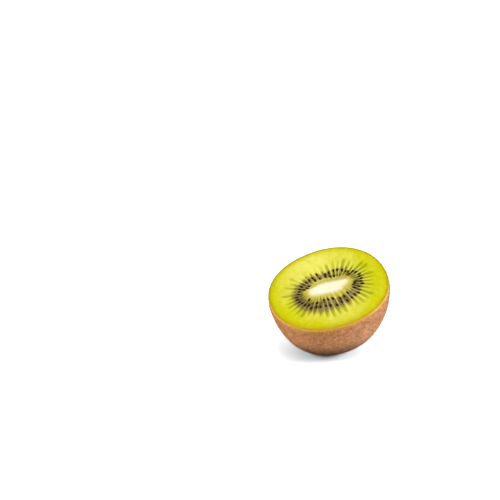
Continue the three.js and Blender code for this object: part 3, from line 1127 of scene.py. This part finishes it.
# %% [markdown]
# The peel of a ripe fruit is dull and mottled: tan to pinkish brown, with darker specks where the fuzz has
# rubbed off and small cork dots. Noise at several sizes gives that, and a fine bump gives the papery grain
# between the hairs. A soft sheen stands for the finest down. Just under the cut the peel is painted golden,
# painted light from the yellow flesh beside it, and there it is painted darker towards the fuller end, a
# painted shade that holds back the strong side lamp.
#
# Two tones are painted, by Object coordinates, to match the photograph. Near the table it shows a soft
# shade under the fruit, which this glowing floor would light away, so a painted shade darkens the peel
# there. At its fuller end it shows a pinker tone, which may be coloured light. At its fuller end the peel
# is painted paler and pinker, a painted sheen for the strong side lamp. Both stay with the peel under any
# other light, so whoever wants the bare colour sets FOOT_SHADE and PAINTED_SIDE_SHEEN to white.

# %% Peel material
# painted shade: the peel and its hairs are darkened near the table
FOOT_SHADE_TOP = 13.5
FOOT_SHADE_FULL = 3.5
FOOT_SHADE = (0.27, 0.2, 0.17, 1.0)
# painted sheen: the fuller end of the peel and its hairs is made paler and pinker for the strong side lamp
PAINTED_SHEEN_REACH = 20.0
PAINTED_SIDE_SHEEN = (0.94, 1.03, 1.36, 1.0)


def peel_colour(*screen):
    return colour(*screen, light=PEEL_LIGHT)


def painted_light_and_shade(graph, place, tint):
    """Lays a painted sheen, paler and pinker, at the fuller end, and a painted shade near the table, over a
    colour.
    """
    parts = graph.parts(place)
    for share, shade in (
        (graph.smooth(parts[0], 0.0, PAINTED_SHEEN_REACH * MM), PAINTED_SIDE_SHEEN),
        (graph.smooth(parts[2], FOOT_SHADE_TOP * MM, FOOT_SHADE_FULL * MM), FOOT_SHADE),
    ):
        node = graph.add("ShaderNodeMix", data_type="RGBA", blend_type="MULTIPLY")
        graph.feed(node.inputs[0], share)
        graph.feed(node.inputs[6], tint)
        node.inputs[7].default_value = shade
        tint = node.outputs[2]
    return tint


def finish_peel(graph, shader):
    place = graph.place()
    wide = graph.noise(place, 9 * MM, 3.0)
    middle = graph.noise(place, 1.7 * MM, 4.0, 0.6)
    fine = graph.noise(place, 0.5 * MM, 3.0, 0.6)
    tan = graph.mix(graph.smooth(wide, 0.3, 0.7), peel_colour(168, 110, 54), peel_colour(206, 141, 80))
    tan = graph.tint(tan, graph.smooth(middle, 0.48, 0.7), 0.7, peel_colour(112, 64, 22))
    tan = graph.tint(tan, graph.smooth(fine, 0.52, 0.68), 0.75, peel_colour(72, 40, 12))
    tan = graph.tint(tan, graph.smooth(fine, 0.44, 0.32), 0.75, peel_colour(240, 183, 126))
    cut_depth = graph.measure("cut_depth")
    # the skin under the cut is painted golden, painted light from the yellow flesh beside it, and painted
    # darker towards the fuller end, a painted shade that holds back the strong side lamp
    right = graph.smooth(graph.parts(place)[0], 2 * MM, 18 * MM)
    golden = graph.mix(right, peel_colour(192, 136, 10), peel_colour(172, 120, 30))
    near_cut = graph.smooth(graph.plus(cut_depth, graph.scaled(middle, -1.5, 1.5)), 4.5, 0.8)
    tan = graph.tint(tan, near_cut, 0.8, golden)
    tan = graph.mix(graph.smooth(cut_depth, 0.6, 0.2), tan, peel_colour(170, 140, 2))
    # the base colour takes the painted sheen at the fuller end and the painted shade near the table
    graph.fill(shader, {
        "Base Color": painted_light_and_shade(graph, place, tan),
        "Roughness": graph.scaled(middle, 0.6, 0.85),
        "Normal": graph.relief(graph.total((middle, 0.6), (fine, 0.5)), 0.7, 0.2 * MM),
        "Specular IOR Level": 0.25,
        "Sheen Weight": 0.3, "Sheen Roughness": 0.4, "Sheen Tint": (1.0, 0.81, 0.66, 1.0),
    })


finish_peel(peel_graph, peel_shader)

# %% [markdown]
# ## Fuzz
#
# The hairs could be a particle system, but hair particles are lost when the model is exported.
# Geometry Nodes scatter points over the peel instead and set a thin spike on each, turned off the
# surface's normal by a random lean and made real mesh at the end. There are two kinds: a dense
# down that lies close to the peel, and bent hairs that stand up and make the soft edge of the
# outline. No hair grows where the peel is pressed on the table, or right at the cut, where the
# knife has taken it off.

# %% Hair shapes and fuzz tree
DOWN_SIZES = {
    "Hairs per Square": 9.5,
    "Length Least": 0.9,
    "Length Most": 1.6,
    "Lean Least": math.radians(50),
    "Lean Most": math.radians(80),
    "Draw": 11,
}
LONG_FUZZ_SIZES = {
    "Hairs per Square": 3.6,
    "Length Least": 0.6,
    "Length Most": 1.3,
    "Lean Least": math.radians(8),
    "Lean Most": math.radians(55),
    "Draw": 23,
}
HAIR_THICKNESS = 0.07
HAIR_SIDES = 3


def spike(name, bends):
    """A hair one millimetre long that points up, by its height, thickness and sway at each bend."""
    corners = FULL_TURN * np.arange(HAIR_SIDES) / HAIR_SIDES
    points = [
        (thickness * math.cos(corner) + sway, thickness * math.sin(corner), height)
        for height, thickness, sway in bends[:-1] for corner in corners
    ]
    points.append((bends[-1][2], 0, bends[-1][0]))
    faces = [tuple(reversed(range(HAIR_SIDES)))]
    for level in range(len(bends) - 2):
        for side in range(HAIR_SIDES):
            near = level * HAIR_SIDES + side
            beside = level * HAIR_SIDES + (side + 1) % HAIR_SIDES
            faces.append((near, beside, beside + HAIR_SIDES, near + HAIR_SIDES))
    last = (len(bends) - 2) * HAIR_SIDES
    for side in range(HAIR_SIDES):
        faces.append((last + side, last + (side + 1) % HAIR_SIDES, len(points) - 1))
    mesh = bpy.data.meshes.new(name)
    mesh.from_pydata(points, [], faces)
    return bpy.data.objects.new(name, mesh)


def fuzz_tree(name, sizes, hair, material):
    graph, given, result = new_geometry_tree(name, sizes)
    density = graph.times(given["Hairs per Square"], graph.named("rootable"))
    scatter = graph.add("GeometryNodeDistributePointsOnFaces", {
        "Mesh": given["Geometry"], "Density": density, "Seed": given["Draw"],
    })

    def random_between(least, most, salt):
        return graph.random(least, most, graph.plus(given["Draw"], float(salt)))

    def turned(rotation, x, z):
        step = graph.add("FunctionNodeEulerToRotation", {"Euler": graph.vector(x, 0.0, z)})
        node = graph.add("FunctionNodeRotateRotation", {"Rotation": rotation, "Rotate By": step.outputs[0]})
        node.rotation_space = "LOCAL"
        return node.outputs[0]

    spun = turned(scatter.outputs["Rotation"], 0.0, random_between(0.0, FULL_TURN, 1))
    leant = turned(spun, random_between(given["Lean Least"], given["Lean Most"], 2), 0.0)
    curled = turned(leant, 0.0, random_between(0.0, FULL_TURN, 3))
    length = random_between(given["Length Least"], given["Length Most"], 4)
    source = graph.add("GeometryNodeObjectInfo", {"Object": hair})
    planted = graph.add("GeometryNodeInstanceOnPoints", {
        "Points": scatter.outputs["Points"],
        "Instance": source.outputs["Geometry"],
        "Rotation": curled,
        "Scale": graph.vector(1.0, 1.0, length),
    })
    toned = keep_tone(graph, planted.outputs[0], random_between(0.0, 1.0, 5))
    return end_tree(graph, toned, material, result)


# %% Hair material
def hair_material(name, dark, pale):
    material, graph, shader = new_material(name)
    place = graph.place()
    patch = graph.scaled(graph.noise(place, 1.5 * MM, 3.0), -1.0, 1.3)
    share = graph.total((graph.measure("tone"), 0.5), patch, clamp=True)
    # the hairs take the same painted sheen and painted shade as the peel
    hair_colour = painted_light_and_shade(graph, place, graph.mix(share, dark, pale))
    graph.fill(shader, {"Base Color": hair_colour, "Roughness": 0.55, "Specular IOR Level": 0.3})
    return material


down_look = hair_material("down", peel_colour(136, 82, 38), peel_colour(234, 170, 114))
long_look = hair_material("long fuzz", peel_colour(158, 98, 50), peel_colour(246, 194, 146))

# %% Plant the fuzz
FOOT_CLEARANCE = 0.25
BARE_RIM = 2.0
BARE_FADE = 0.2

skin_points = points_of(skin)
off_table = np.clip(on_table(skin_points)[:, 2] / MM / FOOT_CLEARANCE - 1, 0, 1)
off_rim = np.clip(-skin_points[:, 2] / BARE_RIM - BARE_FADE, 0, 1)
add_measure(skin, "rootable", off_table * off_rim)


def planted_fuzz(name, sizes, hair, look, ground):
    fuzz = grown(name, fuzz_tree(name + " rule", sizes, hair, look), sizes, ground)
    lay_down(fuzz)
    return fuzz


down_hair = spike("down hair", ((0, HAIR_THICKNESS / 2, 0), (1, 0, 0)))
long_hair = spike("long hair", ((0, HAIR_THICKNESS / 2, 0), (0.55, HAIR_THICKNESS / 3, 0.08), (1, 0, 0.3)))
down = planted_fuzz("down", DOWN_SIZES, down_hair, down_look, skin.copy())
long_fuzz = planted_fuzz("long_fuzz", LONG_FUZZ_SIZES, long_hair, long_look, skin)

# %% [markdown]
# ## Seeds
#
# A kiwi seed is a teardrop with its point towards the core, and it is wet and nearly black. The
# real one is flatter than the one built here, which is about as thick as it is wide. The places
# were worked out above. They become points that carry their turn, a Geometry Nodes tree shapes
# one seed from a UV sphere and sets it on each, and a seeded draw makes no two quite alike.

# %% Seed tree
SEED_ROLL = 0.25
SEED_SIZES = {
    "Length": SEED_LENGTH,
    "Width": SEED_WIDTH,
    "Thickness": SEED_THICKNESS,
    "Taper": SEED_TAPER,
    "Size Least": 0.8,
    "Size Most": 1.02,
    "Draw": 3,
}


def seed_tree(material):
    graph, given, result = new_geometry_tree("seed rule", SEED_SIZES)
    ball = graph.add("GeometryNodeMeshUVSphere", {"Segments": 16, "Rings": 12, "Radius": 0.5})
    at = graph.parts(graph.add("GeometryNodeInputPosition").outputs[0])
    widening = graph.plus(graph.times(graph.times(at[2], 2.0), given["Taper"]), 1.0)
    shaped = graph.vector(
        graph.times(at[2], given["Length"]),
        graph.times(graph.times(at[1], widening), given["Width"]),
        graph.times(graph.times(at[0], widening), graph.times(given["Thickness"], -1.0)),
    )
    seed = graph.add("GeometryNodeSetPosition", {"Geometry": ball.outputs["Mesh"], "Position": shaped})
    size = graph.random(given["Size Least"], given["Size Most"], given["Draw"])
    roll = graph.random(-SEED_ROLL, SEED_ROLL, graph.plus(given["Draw"], 1.0))
    turn = graph.vector(roll, 0.0, graph.named("turn"))
    sown = graph.add("GeometryNodeInstanceOnPoints", {
        "Points": given["Geometry"],
        "Instance": seed.outputs[0],
        "Rotation": graph.add("FunctionNodeEulerToRotation", {"Euler": turn}).outputs[0],
        "Scale": graph.vector(size, size, size),
    })
    smooth = graph.add("GeometryNodeSetShadeSmooth", {"Geometry": sown.outputs[0]})
    return end_tree(graph, keep_tone(graph, smooth.outputs[0], size), material, result)


# %% Seed material
def seed_material():
    material, graph, shader = new_material("seed")
    pits = graph.noise(graph.place(), 0.35 * MM, 3.0, 0.6)
    graph.fill(shader, {
        "Base Color": graph.mix(graph.smooth(pits, 0.45, 0.75), colour(34, 20, 4), colour(70, 46, 16)),
        "Roughness": graph.scaled(pits, 0.2, 0.45),
        "Normal": graph.relief(pits, 0.4, 0.04 * MM),
        "Specular IOR Level": 0.15, "Specular Tint": (1.0, 0.78, 0.42, 1.0),
        "Coat Weight": 0.1, "Coat Roughness": 0.1,
    })
    return material


# %% Sow the seeds
seed_points = bpy.data.meshes.new("seed places")
seed_points.from_pydata(SEEDS[:, :3].tolist(), [], [])
add_measure(seed_points, "turn", SEEDS[:, 3])
seeds = grown("seeds", seed_tree(seed_material()), SEED_SIZES, seed_points)
lay_down(seeds)

# %% [markdown]
# ## Join the pieces to the frame
#
# Every piece rides on the one body, root. The outer flesh and the peel stand for the frame's
# flesh, and the seed bed and the seeds for its seed bed.

# %% Ride and replace
for piece, slot in (
    (flesh, "flesh"), (peel, "peel"), (down, "peel"), (long_fuzz, "peel"),
    (bed, "seed_bed"), (seeds, "seed"), (core, "core"),
):
    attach(piece, "root")
for piece, node in (
    (flesh, "flesh"), (peel, "flesh"), (bed, "seed_bed"), (seeds, "seed_bed"), (core, "core"),
):
    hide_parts(node)
